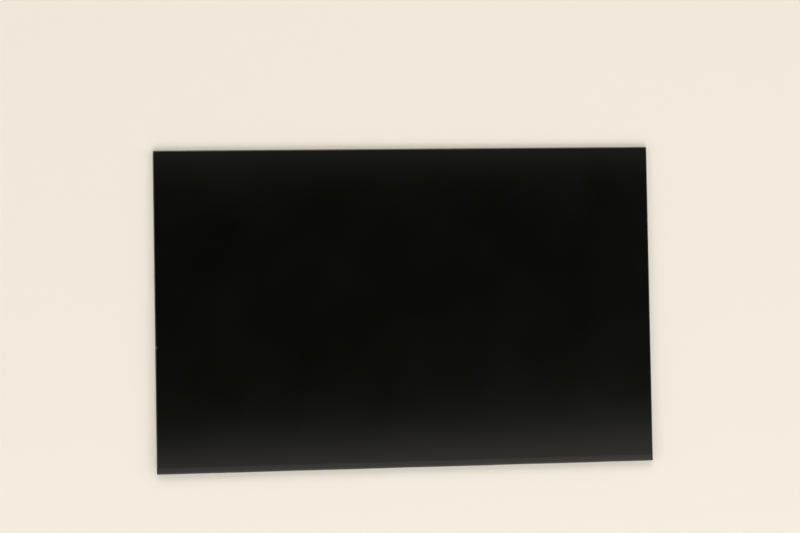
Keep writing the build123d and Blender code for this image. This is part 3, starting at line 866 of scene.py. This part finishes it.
# The length of a cap, the reach of its solder, and the share of the part's height that a cap covers.
chip_parts = [
    ("capacitors", fired_titanate, "capacitor_ceramic", 0.25, 0.15, 1.0),
    ("bulk_capacitors", fired_titanate, "capacitor_ceramic", 0.4, 0.25, 1.0),
    ("resistors", glazed_alumina, "resistor_body", 0.2, 0.15, 1.0),
    ("input_fuse", white_alumina, "white_moulding", 0.35, 0.2, 1.0),
    ("diodes", moulded_epoxy, "chip_package", 0.25, 0.25, 0.25),
]
occupied = []
for node, body, slot, cap, reach, cap_share in chip_parts:
    part = bmesh.new()
    boxes = solid_boxes(node)
    for low, high in boxes:
        add_chip_part(part, low, high, cap, reach, cap_share)
    new_piece(f"{node}_soldered", part, [body, bright_tin], node)
    occupied.extend(boxes)
print("chip parts on the board:", len(occupied))

# %% [markdown]
# ## Chips, inductors and the connector's joints
# Flat packages have no legs. A row of solder fillets along each side shows where their pads are, half a
# millimetre apart, and a shallow ring in one corner marks the first pad. The inductors are square blocks of
# ferrite round a turned core, held by a tinned plate at two sides. All this solder is one piece.

# %% Flat packages
def add_turned(bm, centre, profile, steps=24):
    """A round form: rings of the given radius at the given height above a face that looks towards -Z."""
    turns = [2.0 * math.pi * step / steps for step in range(steps)]
    sections = []
    for radius, rise in profile:
        ring = [Vector((math.cos(turn) * radius, math.sin(turn) * radius, -rise)) for turn in turns]
        sections.append([centre + point for point in ring])
    add_sweep(bm, sections)


board_low, board_high = span("timing_board")
rear = board_low.z
chips = ("timing_controller", "power_chip", "level_shifter", "backlight_driver", "setting_memory")
compass = [Vector((1, 0, 0)), Vector((0, 1, 0)), Vector((-1, 0, 0)), Vector((0, -1, 0))]
pad_pitch, pad_width, pad_reach, pad_climb, corner_free = 0.5, 0.24, 0.12, 0.22, 0.5
# Far less than a pad, so that rounding never drops one.
slack = 0.01
mark_inset = 0.6
mark_ring = [(0.3, 0.0), (0.3, 0.01), (0.26, 0.012), (0.2, 0.002)]

solder = bmesh.new()
marks = bmesh.new()
for node in chips:
    low, high = span(node)
    occupied.append((low, high))
    half = (high - low) / 2
    middle = Vector((low.x + half.x, low.y + half.y, rear))
    square = abs(half.x - half.y) < slack
    for out in compass if square else compass[::2]:
        wall = abs(out.x) * half.x + abs(out.y) * half.y
        side = Vector((-out.y, out.x, 0))
        length = abs(side.x) * half.x + abs(side.y) * half.y
        count = int((length - corner_free) * 2 / pad_pitch + slack) + 1
        for pad in range(count):
            shift = (pad - (count - 1) / 2) * pad_pitch
            add_fillet(solder, middle + out * wall + side * shift, out, pad_width, pad_reach, pad_climb)
    corner = Vector((low.x + mark_inset, high.y - mark_inset, low.z))
    add_turned(marks, corner, mark_ring)
new_piece("first_pad_marks", marks, [moulded_epoxy])

# %% Inductors
cores = bmesh.new()
core_share, ferrite_round = 0.42, 0.05
plate_gauge, plate_width, plate_rise, plate_round = 0.06, 2.4, 0.5, 0.02
plate_reach, plate_climb = 0.3, 0.35
for number in (1, 2, 3):
    low, high = span(f"inductor_{number}")
    occupied.append((low, high))
    middle = (low + high) / 2
    radius = (high.x - low.x) * core_share
    # The core stands out a little, with a rounded rim and a shallow hole in its middle.
    profile = [(radius, 0.0), (radius, 0.03), (radius - 0.06, 0.05), (0.5, 0.05), (0.4, 0.02)]
    add_turned(cores, Vector((middle.x, middle.y, low.z)), profile, steps=40)
    for end, wall in ((-1, low.x), (1, high.x)):
        outer = wall + end * plate_gauge
        plate_low = Vector((min(wall, outer), middle.y - plate_width / 2, rear - plate_rise))
        plate_high = Vector((max(wall, outer), middle.y + plate_width / 2, rear))
        add_block(solder, plate_low, plate_high, plate_round)
        foot, out = Vector((outer, middle.y, rear)), Vector((end, 0, 0))
        add_fillet(solder, foot, out, plate_width, plate_reach, plate_climb)
    soften(f"inductor_{number}", ferrite_round, sintered_ferrite)
new_piece("inductor_cores", cores, [sintered_ferrite])

# %% Connector and tail joints
contacts = solid_boxes("connector_contacts")
contact_reach = 0.2
for low, high in contacts:
    foot = Vector(((low.x + high.x) / 2, high.y, rear))
    add_fillet(solder, foot, Vector((0, 1, 0)), high.x - low.x, contact_reach, high.z - low.z)
shell_low, shell_high = span("connector_shell")
shell_foot, shell_reach, shell_climb = 1.4, 0.25, 0.12
for end, x in ((-1, shell_low.x), (1, shell_high.x)):
    foot = Vector((x, (shell_low.y + shell_high.y) / 2, rear))
    add_fillet(solder, foot, Vector((end, 0, 0)), shell_foot, shell_reach, shell_climb)

tail_low, tail_high = span("light_bar_flex")
tail_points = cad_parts["light_bar_flex"].data.vertices
tail_span = [point.co.x / mm for point in tail_points if point.co.z / mm < rear]
tail_x = (min(tail_span) + max(tail_span)) / 2
tail_pitch, tail_lanes, tail_inset = 1.2, 4, 0.6
tail_joint = [(0.42, 0.0), (0.4, 0.05), (0.3, 0.1), (0.15, 0.13)]
print("tail on the board at x in mm:", round(tail_x, 3))
tail_places = [tail_x + (lane - (tail_lanes - 1) / 2) * tail_pitch for lane in range(tail_lanes)]
for x in tail_places:
    add_turned(solder, Vector((x, tail_high.y - tail_inset, tail_low.z)), tail_joint)
new_piece("solder_joints", solder, [bright_tin])

# %% [markdown]
# ## Copper under the mask
# A board's tracks show through its solder mask as paler raised lines. Most of the routing runs on inner
# layers. What shows is the fan-out: from each contact to a via, from the controller to the drive films, from
# the backlight driver to the light bar's tail, and broad strips between the inductors and their chips. A
# track is a flat strip swept along a path, with its corners mitred.

# %% Tracks
def offset_path(path, shift):
    """A path in the board's plane moved sideways, with its corners mitred."""
    steps = [(two - one).normalized() for one, two in zip(path, path[1:])]
    moved = []
    for index, point in enumerate(path):
        before = steps[max(index - 1, 0)]
        after = steps[min(index, len(steps) - 1)]
        side = Vector((-before.y, before.x, 0.0))
        mean = (side + Vector((-after.y, after.x, 0.0))).normalized()
        moved.append(point + mean * shift / mean.dot(side))
    return moved


def add_strip(bm, points, width, gauge):
    """A flat strip with sloped sides along (x, y) points on the board's parts side."""
    path = [Vector((x, y, rear)) for x, y in points]
    top = [point - Vector((0.0, 0.0, gauge)) for point in path]
    foot_rails = [offset_path(path, shift) for shift in (width / 2, -width / 2)]
    top_rails = [offset_path(top, shift) for shift in (gauge - width / 2, width / 2 - gauge)]
    add_sweep(bm, list(zip(*foot_rails, *top_rails)))


copper = bmesh.new()
track, copper_gauge = 0.12, 0.03
via_gauge, via_land, via_steps = 0.036, 0.13, 16
via = [(0.2, 0.0), (0.18, via_gauge), (0.1, via_gauge), (0.08, 0.01)]


def add_escape(points, width):
    """A track that starts under the ring of a via."""
    centre = Vector((*points[0], rear))
    start = centre + (Vector((*points[1], rear)) - centre).normalized() * via_land
    add_strip(copper, [(start.x, start.y), *points[1:]], width, copper_gauge)
    add_turned(copper, centre, via, via_steps)


escape, escape_step = 0.6, 0.45
for order, (low, high) in enumerate(contacts):
    x = (low.x + high.x) / 2
    end = high.y + escape + escape_step * (order % 3)
    add_escape([(x, end), (x, high.y)], track)

# %% Tracks from the controller
chip_low, chip_high = span("timing_controller")
parts_line = (chip_low.y + chip_high.y) / 2
film_top = films[1][1].y
film_end = film_top + 0.05
# From the controller's pads: long lanes to the inner films, then short ones to vias.
pads_a_side, long_lanes = 11, 6
first_pad = parts_line - (pads_a_side - 1) / 2 * pad_pitch
lane_line, lane_pitch = film_top + 1.6, 0.2
long_start, first_bend, corner_cut = films[2][0].x + 2.0, 0.4, 0.5
short_lane, short_step = 0.8, 0.5
# From the outer films: a few lanes to vias.
outer_lanes, outer_start, outer_pitch = 5, films[3][0].x + 1.5, 0.9
outer_end, outer_step = film_top + 2.2, 0.25
for side in (-1, 1):
    for lane in range(pads_a_side):
        start = side * chip_high.x
        y = first_pad + lane * pad_pitch
        bend = start + side * first_bend
        if lane < long_lanes:
            line = lane_line + lane * lane_pitch
            end = side * (long_start + lane)
            turn = end - side * corner_cut
            points = [(start, y), (bend, y), (bend + side * (y - line), line), (turn, line)]
            add_strip(copper, [*points, (end, line - corner_cut), (end, film_end)], track, copper_gauge)
        else:
            end = start + side * (short_lane + short_step * (lane % 3))
            add_escape([(end, y), (start, y)], track)
    for lane in range(outer_lanes):
        x = side * (outer_start + outer_pitch * lane)
        add_escape([(x, outer_end + outer_step * lane), (x, film_end)], track)

# %% Tracks for power
diode_boxes = solid_boxes("diodes")
driver_pitch, driver_track, driver_cut = 0.5, 0.3, 1.0
driver_start, tail_end = diode_boxes[0][1].x + 0.6, tail_high.y + 0.05
power_track = 1.6
for lane, x in enumerate(tail_places):
    y = parts_line + (lane - (tail_lanes - 1) / 2) * driver_pitch
    points = [(driver_start, y), (x - driver_cut, y), (x, y - driver_cut), (x, tail_end)]
    add_escape(points, driver_track)
bulk = solid_boxes("bulk_capacitors")
power_rows = [
    [bulk[0], span("inductor_1"), span("power_chip"), span("inductor_2"), bulk[2]],
    [bulk[4], span("backlight_driver"), span("inductor_3"), diode_boxes[0]],
]
for row in power_rows:
    for near, far in zip(row, row[1:]):
        add_strip(copper, [(near[1].x, parts_line), (far[0].x, parts_line)], power_track, copper_gauge)

occupied.extend([span("ground_foil_left"), span("ground_foil_right")])


def is_clear(x, y, margin):
    """True where no part lies within a margin of a place on the board."""
    for low, high in occupied:
        if low.x - margin < x < high.x + margin and low.y - margin < y < high.y + margin:
            return False
    return True


stitch_pitch, stitch_inset, stitch_margin = 3.0, 0.5, 0.5
stitches = 0
last_stitch = int(board_high.x / stitch_pitch)
for step in range(-last_stitch, last_stitch + 1):
    x, y = step * stitch_pitch, board_high.y - stitch_inset
    if is_clear(x, y, stitch_margin):
        add_turned(copper, Vector((x, y, rear)), via, via_steps)
        stitches += 1
masked_copper = mottled(
    "solder_masked_copper", ("#1f5a3d", "#266648"),
    patch=2.0, grit=0.3, depth=0.003, settings={"Roughness": 0.3, "IOR": 1.52},
)
new_piece("board_copper", copper, [masked_copper])
print("stitching vias:", stitches)

# %% [markdown]
# ## Test pads and printed marks
# Bare gold pads let probes reach the circuits on the line. White ink marks the first pad of each chip, the
# seats of the inductors and connector, and the diodes' direction. It is a thin layer with no letters.

# %% Test pads and ink
pads = bmesh.new()
probe_pitch, probe_up = 2.4, 1.8
probe_pad = [(0.5, 0.0), (0.48, 0.02), (0.42, 0.025)]
# Where a row of pads starts, and how many it has.
pad_groups = [(-126.0, 5), (-88.0, 3), (15.0, 5), (42.0, 5), (110.0, 5)]
for start, count in pad_groups:
    for step in range(count):
        place = Vector((start + probe_pitch * step, parts_line + probe_up, rear))
        add_turned(pads, place, probe_pad, steps=20)
new_piece("test_pads", pads, [gold_flash])

ink = bmesh.new()
ink_width, ink_gauge = 0.15, 0.015
inductor_gap, diode_gap = 0.35, 0.4
shell_aside, shell_over, shell_short, shell_turn = 0.6, 0.5, 0.3, 1.2
dot_aside, dot_up = 0.4, 0.05
dot = [(0.15, 0.0), (0.14, ink_gauge)]
for number in (1, 2, 3):
    low, high = span(f"inductor_{number}")
    for y in (low.y - inductor_gap, high.y + inductor_gap):
        add_strip(ink, [(low.x, y), (high.x, y)], ink_width, ink_gauge)
for low, high in diode_boxes:
    add_strip(ink, [(low.x, high.y + diode_gap), (high.x, high.y + diode_gap)], ink_width, ink_gauge)
for x, end in ((shell_low.x, -1), (shell_high.x, 1)):
    line, top = x + end * shell_aside, shell_high.y + shell_over
    points = [(line, shell_low.y + shell_short), (line, top), (line - end * shell_turn, top)]
    add_strip(ink, points, ink_width, ink_gauge)
for node in chips:
    low, high = span(node)
    add_turned(ink, Vector((low.x - dot_aside, high.y + dot_up, rear)), dot, steps=16)
screened_ink = mottled(
    "screen_printed_white_ink", ("#d9dad4", "#e4e5e0"),
    patch=1.0, grit=0.2, depth=0.003, settings={"Roughness": 0.6, "IOR": 1.5},
)
new_piece("printed_marks", ink, [screened_ink])
